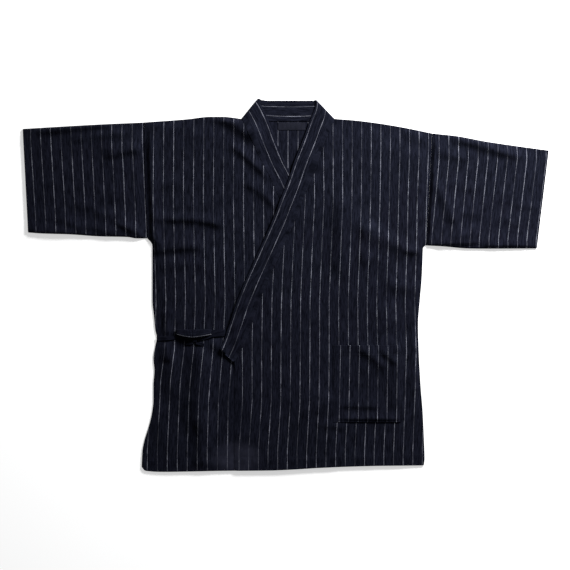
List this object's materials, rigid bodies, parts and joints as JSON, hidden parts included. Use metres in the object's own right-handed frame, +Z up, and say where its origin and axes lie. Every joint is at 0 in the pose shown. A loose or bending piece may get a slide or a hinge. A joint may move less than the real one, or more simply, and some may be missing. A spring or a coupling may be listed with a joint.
{
  "type": "jinbei jacket",
  "caption": "Short-sleeved wrap jacket of dark striped cotton laid flat, with a banded collar, a patch pocket and an outer tie in a bow.",
  "frame": {"origin": "on the surface under the middle of the garment's bounding box", "axes": "+Z up out of the surface, +Y from the hem towards the collar, +X towards the wearer's left sleeve"},
  "size_m": [1.156, 0.8175, 0.0148],
  "materials": {
    "cotton": "matte navy cotton with slubby off-white pinstripes",
    "tape": "tie of the same matte navy cotton, sewn narrow, with one pinstripe along a loop",
    "label": "blank woven label, slightly satin"
  },
  "bodies": {
    "root": {"back": "cotton", "front_right": "cotton", "front_left": "cotton", "sleeve_right": "cotton", "sleeve_left": "cotton", "collar": "cotton", "pocket": "cotton", "label": "label", "bow_knot": "tape", "tie_side": "tape", "tie_front": "tape", "bow_loop_side": "tape", "bow_loop_front": "tape", "bow_end_side": "tape", "bow_end_front": "tape"}
  },
  "joints": []
}
